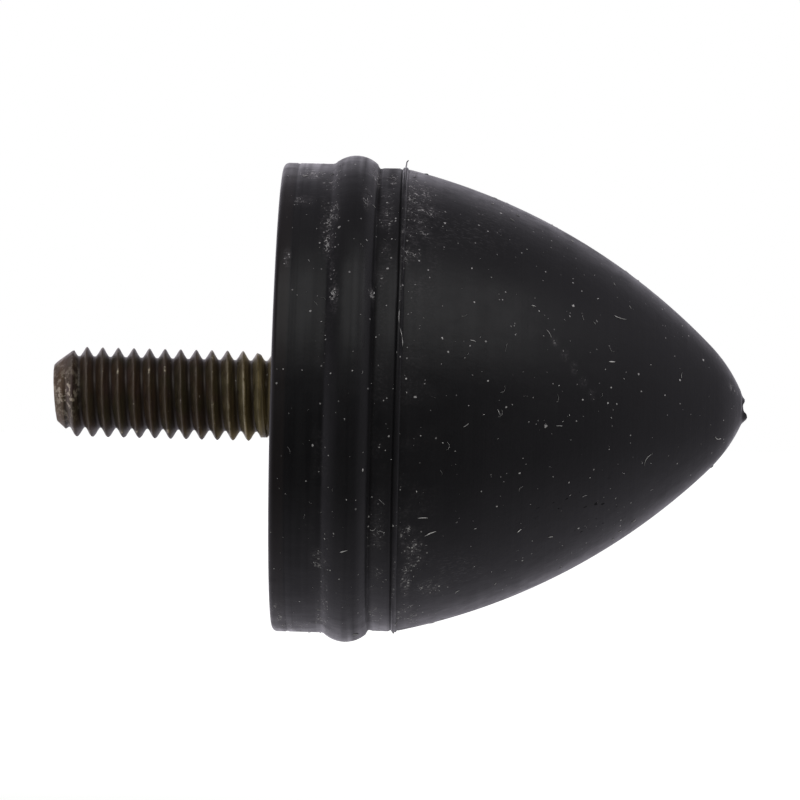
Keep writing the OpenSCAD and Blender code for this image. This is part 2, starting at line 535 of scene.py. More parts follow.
# Distance, angle, reach along the axis, reach round it, amount
DUST_PATCHES = [
    # the back edge and the skirt
    (0.5, -65, 0.5, 2.5, 1.0), (0.75, 35, 0.35, 1.0, 1.0), (2.0, 70, 1.5, 1.5, 1.0),
    (1.5, 55, 1.0, 1.0, 0.6), (1.5, -75, 1.5, 2.0, 0.9), (1.5, 120, 1.5, 2.0, 0.9),
    # the hollow behind the bead
    (3.5, 70, 0.5, 3.0, 1.0), (3.5, 50, 0.5, 2.5, 0.7), (3.25, 40, 0.5, 2.5, 0.8),
    (3.5, 30, 0.3, 2.0, 0.7), (3.75, 25, 0.4, 2.0, 0.9), (3.5, -55, 0.4, 3.0, 0.7),
    (3.5, -140, 0.6, 3.0, 0.9),
    # the bead's front and the band
    (6.0, 70, 0.5, 3.0, 0.9), (5.5, 55, 0.5, 2.0, 0.7), (6.0, 25, 0.3, 1.0, 0.9),
    (6.5, -65, 0.5, 2.0, 0.8), (6.0, 160, 0.5, 2.0, 0.8), (7.0, 70, 0.75, 2.0, 0.9),
    (6.75, 50, 0.75, 2.0, 0.7),
    # the parting ridge
    (7.8, 40, 0.2, 4.5, 0.45), (7.8, 25, 0.15, 3.5, 0.4), (7.8, -50, 0.15, 4.5, 0.5),
    # in front of it
    (8.5, 65, 1.0, 2.0, 0.85), (8.5, 50, 0.75, 1.5, 0.65), (9.5, 55, 1.0, 1.0, 0.55),
    (8.5, -35, 0.6, 1.5, 0.8), (9.0, -40, 1.0, 2.0, 0.9), (8.5, -50, 0.5, 2.5, 0.9),
    (8.5, -65, 1.0, 2.0, 1.0), (10.0, -55, 1.5, 1.5, 0.7), (8.5, 140, 1.0, 2.0, 1.0),
    (8.5, -120, 1.0, 2.5, 0.9),
    # the nose and its tip
    (14.0, 130, 2.0, 1.5, 0.6), (29.0, 35, 0.5, 0.5, 1.0)]
# A finger has left a trail of faint smudges on the nose
DUST_PATCHES += [(17.4 + 0.6 * i, 20 - 4 * i, 0.4, 0.6, 0.4) for i in range(5)]


def dust_patches(place):
    """How much dust the listed patches hold at a place."""
    unrolled = place.tree.xyz(place.part("X"), axis_angle(place))
    patches = []
    for distance, turn, along_axis, around, amount in DUST_PATCHES:
        off = unrolled.vector("SUBTRACT", (distance * MM, radians(turn), 0))
        per_turn = surface_radius(distance) / around
        off = off.vector("MULTIPLY", (1 / (along_axis * MM), per_turn, 0))
        patches.append(off.length().ramp(0.15, 1, amount, 0))
    return place.tree.most(0.0, *patches)


def dust_trap(place):
    """How much dust a place holds, from 0 to 1."""
    distance, height = place.parts("XZ")
    first, full, last, end = (limit * MM for limit in BESIDE_RIDGE)
    beside = distance.ramp(first, full) * distance.fall(last, end)
    trap = place.tree.most(*[near(distance, *hollow) for hollow in HOLLOWS], beside)
    trap = trap * abs(height).ramp(5 * MM, 11 * MM, 0.15, 0.6)
    trap = trap * place.noise(420, 4, 0.62).ramp(0.42, 0.6)
    ragged = place.noise(900, 4, 0.65).ramp(0.32, 0.54)
    return place.tree.most(trap, dust_patches(place) * ragged)


print(f"{len(DUST_PATCHES)} patches of dust")

# %% [markdown]
# Dust has three looks. Some of it is a thin film that is broken up by a fine
# noise. Some lies in short curled lines, where a noise crosses its middle value.
# The rest is specks: each Voronoi cell holds one, and only some cells show
# theirs. The place is warped first, so that no speck is quite round.

# %% A helper for specks
def specks(place, scale, size, share, cover):
    """Dust specks: 1 on a speck. cover from 0 to 1 lets more of them show."""
    tree, warp = place.tree, (0.45 / scale,) * 3
    bend = place.noise(scale * 3, output="Color").vector("SUBTRACT", (0.5, 0.5, 0.5))
    bent = place.vector("ADD", bend.vector("MULTIPLY", warp))
    cells = tree.outputs("ShaderNodeTexVoronoi", {"Vector": bent, "Scale": scale})
    pick, girth, bright = cells["Color"].parts()
    shown = tree.math("LESS_THAN", pick, cover * share)
    girth = (girth ** 2.0 + 0.4) * size
    dot = cells["Distance"].fall(girth * 0.6, girth)
    return dot * shown * (bright * 0.75 + 0.25)

# %% [markdown]
# The colour is laid on in coats, from the black of the rubber to the dust on
# top. Something so black shows mostly what it reflects, so the same patterns
# move the roughness too.

# %% The rubber's finish
RUBBER_BLACK = (0.0062, 0.006, 0.0065, 1)
RUBBER_GREY = (0.0084, 0.0081, 0.0088, 1)
PAINTED_HIGHLIGHT_GREY = (0.018, 0.0176, 0.0185, 1)
BACK_EDGE_HIGHLIGHT = (0.019, 0.015, 0.0145, 1)
PALE_STREAK = (0.1, 0.095, 0.1, 1)
DUST_FILM = (0.18, 0.167, 0.176, 1)
DUST_SPECK = (0.62, 0.6, 0.59, 1)
PIT_SHADE = (0.002, 0.002, 0.002, 1)

# Distance, reach along the axis and depth of the grime and painted shade in the fine creases
CREASES = [(6.2, 0.3, 1.0), (7.57, 0.14, 1.0), (8.0, 0.06, 0.7)]
# Distance, reach along the axis and tone, above 0 where it shines more and is painted as highlight,
# below 0 where it is painted as shade
HIGHLIGHT_AND_SHADE_RINGS = [(1.0, 0.1, -1.6), (1.4, 0.08, -1.3), (3.7, 0.5, -1.5), (4.15, 0.3, -0.8),
           (5.0, 0.22, 2.0), (5.28, 0.1, -1.2), (5.65, 0.3, 1.2), (29.2, 0.15, 1.4)]


def rubber_finish():
    made, tree, shader, place = material("moulded_rubber")
    distance, height = place.parts("XZ")
    cloud = place.noise(160, 3)
    drift = place.streaks((260, 900), 3)
    rings = place.streaks((5200, 90), 3, 0.6)
    grain = place.noise(5200, 3, 0.6)
    peel = place.noise(850, 4, 0.6)

    # The turned mould was polished unevenly round the skirt and the bead, which moves the roughness; in
    # the colour the same rings are painted highlight and painted shade
    polish_and_painted_light = place.streaks((1500, 45), 2, 0.6).ramp(0.42, 0.66, -1, 1)
    polish_and_painted_light = polish_and_painted_light * distance.ramp(6.5 * MM, 10 * MM, 1, 0.25)
    uneven = place.streaks((1200, 150), 3, 0.6).ramp(0.36, 0.56, 0.35, 1)
    for middle, reach_mm, tone in HIGHLIGHT_AND_SHADE_RINGS:
        polish_and_painted_light = polish_and_painted_light + near(distance, middle, reach_mm) * tone * uneven

    # Dust as a film, in short curled lines and in specks
    trap = dust_trap(place)
    mottle = place.streaks((5000, 7600), 4, 0.7).ramp(0.46, 0.64)
    film = trap * (mottle * 0.85 + 0.15)
    curl = abs(place.noise(2700, 3, 0.6) - 0.5).fall(0.008, 0.034)
    curl = curl * place.noise(2100, 3).ramp(0.5, 0.62) * trap.ramp(0.2, 0.7)
    cover = trap * 0.8 + 0.05
    fine = specks(place, 5200.0, 0.3, 0.6, cover)
    coarse = specks(place, 2600.0, 0.22, 0.5, cover)
    speck = tree.most(fine, coarse, curl)

    # The fine creases shine less, partly with old grime and partly as painted shade
    crease_grime_and_shade = tree.most(*[near(distance, middle, wide) * deep for middle, wide, deep in CREASES])
    crease_grime_and_shade = crease_grime_and_shade * place.noise(160).ramp(0.36, 0.5, 0.25, 0.7)
    crease_grime_and_shade = crease_grime_and_shade * height.ramp(-10 * MM, -5 * MM, 0.45, 1)
    # On top the band shines less too
    dull_top = near(distance, 6.9, 1) * height.ramp(12.6 * MM, 14 * MM)
    crease_grime_and_shade = tree.most(crease_grime_and_shade, dull_top * 0.72)

    # Fine pale streaks run along the nose above and below
    pale_streak = place.streaks((700, 9000), 3, 0.6).ramp(0.53, 0.64)
    pale_streak = pale_streak * place.noise(260).ramp(0.44, 0.56) * abs(height).ramp(8.5 * MM, 11 * MM)
    pale_streak = pale_streak * distance.ramp(8 * MM, 8.6 * MM) * distance.fall(12 * MM, 19 * MM)

    # Small drawn pits where the rubber didn't fill the mould, on the nose. They have no bump and are
    # painted dark: painted shade in their hollows
    pit_shade = place.streaks((1100, 3000)).ramp(0.67, 0.73)
    pit_shade = pit_shade * (place.noise(120).ramp(0.52, 0.64) * 0.9)
    pit_shade = pit_shade * distance.ramp(8.2 * MM, 9.2 * MM) * height.ramp(-7 * MM, -3 * MM, 1, 0.12)

    colour = cloud.ramp(0.3, 0.7).mix(RUBBER_BLACK, RUBBER_GREY)
    # Rings above 0 get a painted highlight in the colour, and those below it get painted shade
    colour = ((polish_and_painted_light + 1) * 0.2).mix(colour, PAINTED_HIGHLIGHT_GREY)
    # The last millimetre by the back edge is painted lighter: a painted highlight where its rounding
    # catches the light
    colour = (distance.fall(0.8 * MM, 1 * MM) * 0.6).mix(colour, BACK_EDGE_HIGHLIGHT)
    colour = (pale_streak * 0.35).mix(colour, PALE_STREAK)
    colour = (film * 0.52).mix(colour, DUST_FILM)
    colour = speck.mix(colour, DUST_SPECK)

    rough = cloud.ramp(0.25, 0.75, 0.32, 0.39) + drift.ramp(0.5, 0.75) * 0.06 - polish_and_painted_light * 0.045
    rough = rough + peel.ramp(0.35, 0.65, -0.03, 0.03)
    layers = ((grain, 0.25, 0.02), (rings, 0.3, 0.02), (drift, 0.35, 0.045),
              (peel, 0.35, 0.035), (speck, 0.5, 0.02))
    tree.fill(shader, {
        "Base Color": pit_shade.mix(colour, PIT_SHADE),
        "Roughness": rough + crease_grime_and_shade * 0.25 + film * 0.12 + speck * 0.3,
        "Specular IOR Level": tree.most(pit_shade, crease_grime_and_shade).ramp(0, 1, 0.28, 0.05),
        "Sheen Weight": film.ramp(0, 1, 0.03, 0.12), "Sheen Roughness": 0.35,
        "Normal": relief(tree, layers)})
    return made


rubber = rubber_finish()
print(f"{rubber.name}: {len(rubber.node_tree.nodes)} nodes")

# %% [markdown]
# ## The rubber buffer
#
# The section's points become the vertices of a mesh, the tree turns them, and
# the result is a plain closed mesh that stands for the CAD buffer.

# %% Turn the rubber
def section_mesh(name, points):
    mesh = bpy.data.meshes.new(name)
    mesh.from_pydata([(distance * MM, radius * MM, 0.0) for distance, radius in points], [], [])
    return mesh


rubber_body = new_piece("rubber_body", section_mesh("rubber_body", section))
shape_with(rubber_body, turn_section, {
    "Turns": 256, "Ridge Place": PARTING * MM, "Ridge Ripple": 0.16 * MM,
    "Tear Place": 29.55 * MM, "Tear Depth": 0.13 * MM, "Finish": rubber})
settle(rubber_body)

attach(rubber_body, "root")
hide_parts("rubber_buffer")

# %% [markdown]
# ## Flash
#
# Rubber also creeps into small gaps of the mould. Three bits of it are left: a
# thin fin that runs up along the parting ridge and ends in a loose hair, a nub
# on the far side and a low lump just ahead of the ridge. They are tapered tubes
# along a few points, so one helper makes them all, in bmesh.

# %% Flash on the parting line
def on_axis(distance, radius, angle):
    """The place of a point. 0 degrees faces -Y and 90 degrees faces up."""
    a = radians(angle)
    return Vector((distance, -radius * cos(a), radius * sin(a))) * MM


def tapered_tube(work, points, sides=8, flat=1.0):
    """Adds a closed tube along its points. flat squeezes it along the mount's axis."""
    path = [on_axis(*point[:3]) for point in points]
    rings_made = []
    for i, centre in enumerate(path):
        ahead = path[min(i + 1, len(path) - 1)] - path[max(i - 1, 0)]
        turn = ahead.to_track_quat("Z", "X")
        ring = []
        for k in range(sides):
            a = 2 * pi * k / sides
            off = turn @ Vector((cos(a), sin(a), 0)) * points[i][3] * MM
            off.x *= flat
            ring.append(work.verts.new(centre + off))
        rings_made.append(ring)
    for low, high in zip(rings_made, rings_made[1:]):
        for k in range(sides):
            work.faces.new((low[k], low[(k + 1) % sides], high[(k + 1) % sides], high[k]))
    work.faces.new(list(reversed(rings_made[0])))
    work.faces.new(rings_made[-1])


def tube_piece(name, tubes, finish):
    """A piece of tubes, each with its points, its sides and how flat it is."""
    work = bmesh.new()
    for tube in tubes:
        tapered_tube(work, *tube)
    mesh = bpy.data.meshes.new(name)
    work.to_mesh(mesh)
    work.free()
    mesh.materials.append(finish)
    return new_piece(name, mesh)


# Distance, radius, angle and half thickness
FIN = [(7.82, 14.86, 58.0, 0.02), (7.81, 14.91, 64.0, 0.035), (7.8, 14.93, 71.0, 0.045),
       (7.8, 14.95, 78.0, 0.055), (7.8, 14.99, 84.0, 0.06), (7.81, 15.1, 87.5, 0.055),
       (7.82, 15.22, 88.6, 0.05), (7.86, 15.3, 89.2, 0.045), (7.92, 15.35, 89.6, 0.03)]
NUB = [(7.74, 14.8, -89.0, 0.09), (7.74, 14.9, -89.3, 0.06), (7.75, 14.98, -89.6, 0.02)]
LUMP = [(8.88, 14.46, 84.0, 0.04), (9.00, 14.47, 84.6, 0.09), (9.14, 14.45, 85.2, 0.1),
        (9.28, 14.38, 85.6, 0.04)]

flash = tube_piece("flash", [(FIN, 8, 0.8), (NUB,), (LUMP,)], rubber)
settle(flash)
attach(flash, "root")

# %% [markdown]
# ## The rolled thread
#
# The stud is M6 with a pitch of 1 mm and a right-hand thread, and it is rolled:
# two dies press the grooves in, so the crests are a little round and stay just
# under the full diameter.
#
# A thread follows a path, so it is built with Geometry Nodes again, from the
# points of one pitch. The rows of the grid repeat that pitch, and each column
# slides along the axis by its share of a turn. The rows then run along the
# helix, which keeps crests and roots crisp.

# %% One pitch of the thread
PITCH = 1.0
START = 1.393
CREST_R, ROOT_R = 2.88, 2.28
FLANK_ANGLE = 30
crest_half = 0.05
flank_run = (CREST_R - ROOT_R) * tan(radians(FLANK_ANGLE))
root_half = (PITCH - 2 * flank_run - 2 * crest_half) / 2

pitch_points = [(0.0, ROOT_R), (root_half * 0.7, ROOT_R + 0.012), (root_half * 1.1, ROOT_R + 0.05)]
pitch_points += [(root_half + flank_run * s, ROOT_R + (CREST_R - ROOT_R) * s) for s in (0.35, 0.6, 0.85)]
pitch_points += [(PITCH / 2 - crest_half * 1.1, CREST_R - 0.035),
                 (PITCH / 2 - crest_half * 0.5, CREST_R - 0.006)]
pitch_points += [(PITCH - a, r) for a, r in reversed(pitch_points[1:])]
print(f"one pitch has {len(pitch_points)} points, flanks {flank_run:.3f} mm wide")

# %% [markdown]
# The grid is longer than the stud at both ends. Past the end's chamfer its
# radius shrinks to a nearly flat face, which is a little askew, because the bar
# was cut off so. Past the seating face it runs into the neck and closes there.
# Next to the plate the roll runs out, so the roots rise.

# %% The thread tree
# The chamfer rises so much for each millimetre along the axis
CHAMFER_SLOPE = 0.8


def thread_tree():
    tree, given = geometry_tree("roll_thread", {
        "Int": ["Pitches", "Turns"], "Material": ["Finish"],
        "Float": ["Pitch", "Start", "Root", "End", "End Radius", "Askew", "Run Out", "Last Crest",
                  "Inside", "Wear"]})
    count = tree.get("GeometryNodeAttributeDomainSize", {0: given["Geometry"]})
    grid, row, share = turned_grid(tree, count * given["Pitches"], given["Turns"])
    pitch = tree.math("FLOOR", (row + 0.5) / count)
    along_axis, radius = listed_point(tree, given["Geometry"], row - pitch * count)
    side, height = side_and_height(tree, share)
    distance = given["Start"] - ((pitch + share) * given["Pitch"] + along_axis)

    # Next to the plate the roots rise and the last crest is lower
    run_out = distance.ramp(-0.85 * MM, -0.35 * MM, 0, given["Run Out"])
    radius = tree.most(radius, given["Root"] + run_out)
    fade = distance.ramp(-1.9 * MM, -0.9 * MM, 0, given["Last Crest"])
    radius = tree.least(radius, CREST_R * MM - fade)

    # The crests are nicked, and the chamfer at the end is ragged
    where = tree.xyz(distance, side * (3 * MM), height * (3 * MM))
    radius = radius + (where.noise(1500, 4, 0.6) - 0.5) * given["Wear"]
    past_end = distance - given["End"]
    sloped = past_end * past_end.ramp(0, 0.001 * MM, 1, CHAMFER_SLOPE)
    ragged = (where.noise(900, 3, 0.6) - 0.5) * (0.24 * MM)
    radius = tree.most(tree.least(radius, given["End Radius"] + sloped + ragged), 0.0)

    # Past the seating face the piece closes inside the neck
    radius = radius * distance.fall(given["Inside"], given["Inside"] + 0.2 * MM)
    held = tree.least(distance, given["Inside"])

    # The end's face is slightly domed, and the bar was cut off a little askew
    dome = tree.least((radius / given["End Radius"]) ** 2.0, 1.0) * (0.04 * MM)
    face = given["End"] + radius * height * given["Askew"] + dome
    place = turned_place(tree, tree.most(held, face), radius, side, height)
    return end_grid(tree, given, grid, place)


roll_thread = thread_tree()

# %% [markdown]
# ## Yellow-passivated steel
#
# The stud and the plate are zinc plated and passivated. On the stud the film has
# gone dark, olive and brown with pinkish patches. Next to the plate it is painted
# gold, partly the film's own gold and partly painted highlight. The plate's film is
# paler. What both share comes first.

# %% What both steels share
def zinc_film(place, patch_scale, patch_share, olive, brown, pink):
    """The passivated film: two tones in clouds, and patches of a third."""
    film = place.noise(420, 3).ramp(0.38, 0.62).mix(olive, brown)
    return (place.noise(patch_scale).ramp(0.5, 0.68) * patch_share).mix(film, pink)


def finish_steel(tree, shader, place, film, smooth, rough):
    """Lays dust on the film and gives the metal its grain."""
    grain = place.noise(9000, 3, 0.6)
    brushed = place.streaks((9000, 500))
    dust = specks(place, 2600.0, 0.17, 0.16, 1.0)
    tree.fill(shader, {
        "Base Color": (dust * 0.8).mix(film, (0.52, 0.48, 0.44, 1)),
        "Roughness": grain.ramp(0.2, 0.8, smooth, rough),
        "Normal": relief(tree, ((grain, 0.3, 0.01), (brushed, 0.3, 0.01)))})

# %% [markdown]
# The roots and the flanks that face the nose are painted dark: painted shade, with
# some grime in the roots. The flanks that face the stud's end are painted paler
# towards the crest: painted light from that side. The worn crests get a painted
# highlight. The radius from the axis says where crest and root are. The place
# along the pitch, counted along the helix, says which flank it is.
#
# The chamfer at the end has lost its film and is brown. Where the first crest
# beside it was knocked, the bright metal shows in flecks.

# %% The stud's finish
OLIVE, BROWN = (0.085, 0.07, 0.036, 1), (0.1, 0.06, 0.034, 1)
PINK, GOLD_AND_HIGHLIGHT = (0.112, 0.066, 0.066, 1), (0.25, 0.205, 0.1, 1)
DRAWN_GRIME, ROOT_SHADE_AND_GRIME = (0.024, 0.015, 0.01, 1), (0.022, 0.015, 0.011, 1)
BARE_BROWN = (0.17, 0.108, 0.058, 1)
LIT_FLANK, LIT_FLANK_GOLD = (0.145, 0.114, 0.08, 1), (0.34, 0.285, 0.16, 1)
WORN_CREST_LIGHT, CREST_GOLD_HIGHLIGHT = (0.095, 0.074, 0.056, 1), (0.6, 0.54, 0.36, 1)
CREST_GLINT, FLECK = (0.52, 0.46, 0.34, 1), (0.6, 0.52, 0.4, 1)
# Where the chamfer begins, and the place that was knocked
CHAMFER_EDGE = -13.4
KNOCKED = (-13.35 * MM, -2.5 * MM, -0.1 * MM)


def stud_finish():
    made, tree, shader, place = material("stud_steel")
    distance = place.part("X")
    radius = axis_radius(place)
    near_plate = distance.ramp(-5.2 * MM, -0.5 * MM)
    # Next to the plate the film is painted gold: partly its own colour and partly painted highlight
    film = near_plate.mix(zinc_film(place, 900, 0.6, OLIVE, BROWN, PINK), GOLD_AND_HIGHLIGHT)
    drawn = place.streaks((7000, 260), 3, 0.6).ramp(0.42, 0.66, 0, 0.55)
    drawn = drawn * distance.ramp((CHAMFER_EDGE - 0.3) * MM, (CHAMFER_EDGE + 0.5) * MM, 0.3, 1)
    film = drawn.mix(film, DRAWN_GRIME)
    worn_end = distance.fall((CHAMFER_EDGE - 0.35) * MM, CHAMFER_EDGE * MM)
    streaky = place.streaks((5200, 400), 3, 0.6).ramp(0.4, 0.62, 0.35, 0.9)
    film = (worn_end * streaky).mix(film, BARE_BROWN)

    # 0 to 0.5 along the pitch is the flank that faces the nose
    travel = (START * MM - distance) / (PITCH * MM)
    phase = tree.math("FRACT", travel - axis_angle(place) / (2 * pi))
    free = distance.fall(-0.35 * MM, -0.15 * MM)
    # The flank that faces the stud's end is painted paler towards the crest: painted light from that
    # side, in streaks
    flank_light_streaks = place.streaks((3000, 1300), 4, 0.65).ramp(0.38, 0.6, 0.45, 1.1)
    outer = phase.ramp(0.46, 0.54) * phase.fall(0.86, 0.97) * free * flank_light_streaks
    high = radius.ramp(2.35 * MM, CREST_R * MM, 0.1, 0.75)
    film = (outer * high).mix(film, near_plate.mix(LIT_FLANK, LIT_FLANK_GOLD))
    # The roots and the flank that faces the nose are painted dark: painted shade, with some grime in the
    # roots
    shade_and_grime = (1.0 - outer) * free * (1.0 - worn_end * 0.85)
    low = radius.ramp((ROOT_R + 0.02) * MM, (ROOT_R + 0.28) * MM, 0.85, 0.38)
    film = (shade_and_grime * low).mix(film, ROOT_SHADE_AND_GRIME)

    # The worn crests are painted lighter, gold by the plate, with bright dashes: painted highlight and
    # glint on real wear
    crest_wear_and_highlight = radius.ramp((CREST_R - 0.09) * MM, (CREST_R - 0.02) * MM) * free
    crest_noise = place.noise(1100, 4, 0.65)
    film = (crest_wear_and_highlight * crest_noise.ramp(0.4, 0.6, 0.1, 0.9)).mix(film, near_plate.mix(WORN_CREST_LIGHT, CREST_GOLD_HIGHLIGHT))
    film = (crest_wear_and_highlight * crest_noise.ramp(0.6, 0.68)).mix(film, CREST_GLINT)
    off = place.vector("SUBTRACT", KNOCKED).length()
    scuffed = distance.fall((CHAMFER_EDGE + 0.1) * MM, (CHAMFER_EDGE + 1) * MM)
    scuffed = scuffed * off.ramp(0.3 * MM, 1.5 * MM, 1, 0.3)
    scuffed = scuffed * place.noise(2100, 4, 0.7).ramp(0.5, 0.6)
    finish_steel(tree, shader, place, scuffed.mix(film, FLECK), 0.34, 0.52)
    tree.fill(shader, {"Metallic": 0.3})
    return made


stud_steel = stud_finish()
print(f"{stud_steel.name}: {len(stud_steel.node_tree.nodes)} nodes")

# %% [markdown]
# The plate is punched from rolled sheet, so faint lines cross it one way and
# scratches the other. At its edge a ragged skin of rubber has crept over it
# while the mould was filled, and there the surface is rubber and not metal.

# %% The plate's finish
PALE_FILM = ((0.42, 0.36, 0.17, 1), (0.41, 0.32, 0.15, 1), (0.44, 0.33, 0.25, 1))
PALE_GOLD, ROLLED = (0.5, 0.42, 0.2, 1), (0.3, 0.23, 0.11, 1)
SCRATCHED, SKIN = (0.72, 0.62, 0.38, 1), (0.014, 0.0135, 0.014, 1)
# The skin of rubber begins where the radius and a noise of up to SKIN_RAG reach SKIN_R
SKIN_R, SKIN_RAG = 13.72, 0.9


def plate_finish():
    made, tree, shader, place = material("plate_steel")
    film = zinc_film(place, 150, 0.4, *PALE_FILM)
    film = place.noise(260, 4, 0.6).ramp(0.4, 0.66).mix(film, PALE_GOLD)
    rolled = place.vector("MULTIPLY", (900, 180, 9000)).noise(1, 3, 0.6)
    film = rolled.ramp(0.45, 0.7, 0, 0.3).mix(film, ROLLED)
    scratch = place.vector("MULTIPLY", (900, 7000, 330)).noise(1, 4, 0.7)
    film = scratch.ramp(0.64, 0.7, 0, 0.6).mix(film, SCRATCHED)
    skin = axis_radius(place) + place.noise(520, 4, 0.6) * (SKIN_RAG * MM)
    skin = skin.ramp(SKIN_R * MM, (SKIN_R + 0.06) * MM)
    finish_steel(tree, shader, place, skin.mix(film, SKIN), 0.17, 0.27)
    tree.fill(shader, {"Metallic": skin.ramp(0, 1, 0.9, 0)})
    return made


plate_steel = plate_finish()
print(f"{plate_steel.name}: {len(plate_steel.node_tree.nodes)} nodes")

# %% [markdown]
# ## The threaded stud
#
# Behind the thread the stud has a smooth neck that fills the plate's hole and a
# head in the rubber, which keeps it from being pulled out. Both are turned with
# the tree that turned the rubber. The thread reaches a little into the neck.

# %% Roll the thread and turn the neck and head
stud_thread = new_piece("stud_thread", section_mesh("stud_thread", pitch_points))
shape_with(stud_thread, roll_thread, {
    "Pitch": PITCH * MM, "Pitches": 19, "Turns": 112, "Start": START * MM, "Root": ROOT_R * MM,
    "End": (STUD_END + 0.18) * MM, "End Radius": 1.78 * MM, "Askew": -0.08,
    "Run Out": 0.38 * MM, "Last Crest": 0.25 * MM, "Inside": 0.2 * MM, "Wear": 0.035 * MM,
    "Finish": stud_steel})
settle(stud_thread, sharp=50)

anchor = [(0.0, 0.0)]
anchor += line(anchor[-1], (0.0, NECK_R), 1)
anchor += line(anchor[-1], (PLATE_T, NECK_R), 1)
anchor += line(anchor[-1], (PLATE_T, HEAD_R), 2)
anchor += line(anchor[-1], (head_edge[0], HEAD_R), 2)
anchor += arc(head_edge, HEAD_EDGE_R, 0, 90)[1:]
anchor += line(anchor[-1], (HEAD_TOP, 0.0), 2)

# The anchor has no ridge and no torn stub, so both are set far away from it
stud_anchor = new_piece("stud_anchor", section_mesh("stud_anchor", anchor))
shape_with(stud_anchor, turn_section, {
    "Turns": 96, "Ridge Place": -1.0, "Ridge Ripple": 0.0, "Tear Place": 1.0,
    "Tear Depth": 0.0, "Finish": stud_steel})
settle(stud_anchor)

for piece in (stud_thread, stud_anchor):
    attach(piece, "root")
    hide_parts("threaded_stud")

# %% [markdown]
# ## The base plate
#
# The plate is a plain disc with a hole, so the CAD node is already right. It
# keeps its mesh and only gets the passivated finish.

# %% Finish the base plate
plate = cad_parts["base_plate"]
plate.data.materials.clear()
plate.data.materials.append(plate_steel)
print("plate:", [round(v / MM, 2) for v in plate_high])

# %% [markdown]
# ## Lint and dust
#
# Rubber attracts dust. Under a close look there are short pale fibres and tiny
# chips all over it, with more of them in the hollows and along the parting line.
# They are dry and matt, and no two are equally bright.

# %% The lint's finish
def lint_finish():
    made, tree, shader, place = material("pale_lint")
    tone = place.noise(1400, 3).ramp(0.3, 0.7)
    tree.fill(shader, {
        "Base Color": tone.mix((0.24, 0.235, 0.23, 1), (0.88, 0.86, 0.84, 1)),
        "Roughness": 0.9, "Specular IOR Level": 0.2,
        "Normal": relief(tree, ((place.noise(30000, 1), 0.3, 0.01),))})
    return made


lint_pale = lint_finish()
print(f"{lint_pale.name}: {len(lint_pale.node_tree.nodes)} nodes")

# %% [markdown]
# This is scattering on a surface: Geometry Nodes distribute points on the
# rubber with a fixed seed, put a fibre or a chip on each and turn it at random.
# The dust that the finish uses says where they crowd, so lint and dust agree.

# %% The scattering tree
def scatter_tree():
    tree, given = geometry_tree("scatter_lint", {
        "Object": ["Host"], "Int": ["Seed"], "Material": ["Finish"],
        "Float": ["Fibres", "Chips", "Thickness", "Scale"]})
    host = tree.get("GeometryNodeObjectInfo", {"Object": given["Host"]}, "Geometry")
    place = tree.get("GeometryNodeInputPosition")
    distance = place.part("X")
    # No lint lies on the back face, and none in the pocket of the stud's head
    pocket_r = distance.ramp(26 * MM, 29.7 * MM, 7 * MM, 0)
    shown = tree.math("GREATER_THAN", axis_radius(place), pocket_r)
    shown = shown * tree.math("GREATER_THAN", distance, 0.5 * MM)
    crowd = dust_trap(place)

    def spread(density, crowding, seed):
        """Points on the rubber, with more of them where dust collects."""
        amount = (crowd * crowding + 1.0) * shown * density
        return tree.outputs("GeometryNodeDistributePointsOnFaces", {
            "Mesh": host, "Density": amount, "Seed": given["Seed"] + seed})

    def random(low, high, seed):
        inputs = {2: low, 3: high, "Seed": seed}
        return tree.get("FunctionNodeRandomValue", inputs, 1, data_type="FLOAT")

    def lay(points, shape, size, seed, pick=False):
        """Lays a shape on every point and turns it at random."""
        inputs = {"Axis": (0, 0, 1), "Angle": random(0.0, 2 * pi, seed)}
        spin = tree.get("FunctionNodeAxisAngleToRotation", inputs)
        turned = tree.get("FunctionNodeRotateRotation", {0: points["Rotation"], 1: spin},
                          rotation_space="LOCAL")
        return tree.get("GeometryNodeInstanceOnPoints", {
            "Points": points["Points"], "Instance": shape, "Pick Instance": pick,
            "Rotation": turned, "Scale": size})

    def join(shapes):
        both = tree.add("GeometryNodeJoinGeometry")
        for shape in shapes:
            tree.fill(both, {0: shape})
        return Value(tree, both.outputs[0])

    # A fibre is a bent hair 1 mm long, lying flat, and is scaled where it lies
    hairs = []
    ring = tree.get("GeometryNodeCurvePrimitiveCircle", {"Resolution": 4, "Radius": given["Thickness"]})
    for bend in (0.04, 0.14, 0.3):
        hair = tree.get("GeometryNodeCurveQuadraticBezier", {
            "Resolution": 5, "Start": (-0.5 * MM, 0, 0), "End": (0.5 * MM, 0, 0),
            "Middle": (0.1 * MM, bend * 2 * MM, 0.05 * MM)})
        tube = {"Curve": hair, "Profile Curve": ring, "Fill Caps": True}
        tube = tree.get("GeometryNodeCurveToMesh", tube)
        hairs.append(tree.get("GeometryNodeGeometryToInstance", {0: tube}))
    length = random(0.1, 0.5, 12) * given["Scale"]
    fibres = spread(given["Fibres"], 2.0, 0)
    fibres = lay(fibres, join(hairs), tree.xyz(length, length, 1.0), 11, pick=True)

    # A chip is a rough crumb
    crumb = tree.get("GeometryNodeMeshIcoSphere", {"Radius": 0.5 * MM, "Subdivisions": 1})
    girth = {0: (0.022, 0.016, 0.012), 1: (0.13, 0.05, 0.035), "Seed": 13}
    girth = tree.get("FunctionNodeRandomValue", girth, data_type="FLOAT_VECTOR")
    chips = spread(given["Chips"], 9.0, 1)
    chips = lay(chips, crumb, girth.vector("MULTIPLY", given["Scale"]), 14)
    return end_tree(tree, given, join([fibres, chips]))


scatter_lint = scatter_tree()

# %% [markdown]
# The tree is used twice: once for the fine lint, and once with another seed for
# a few fibres and chips that are longer and thicker.

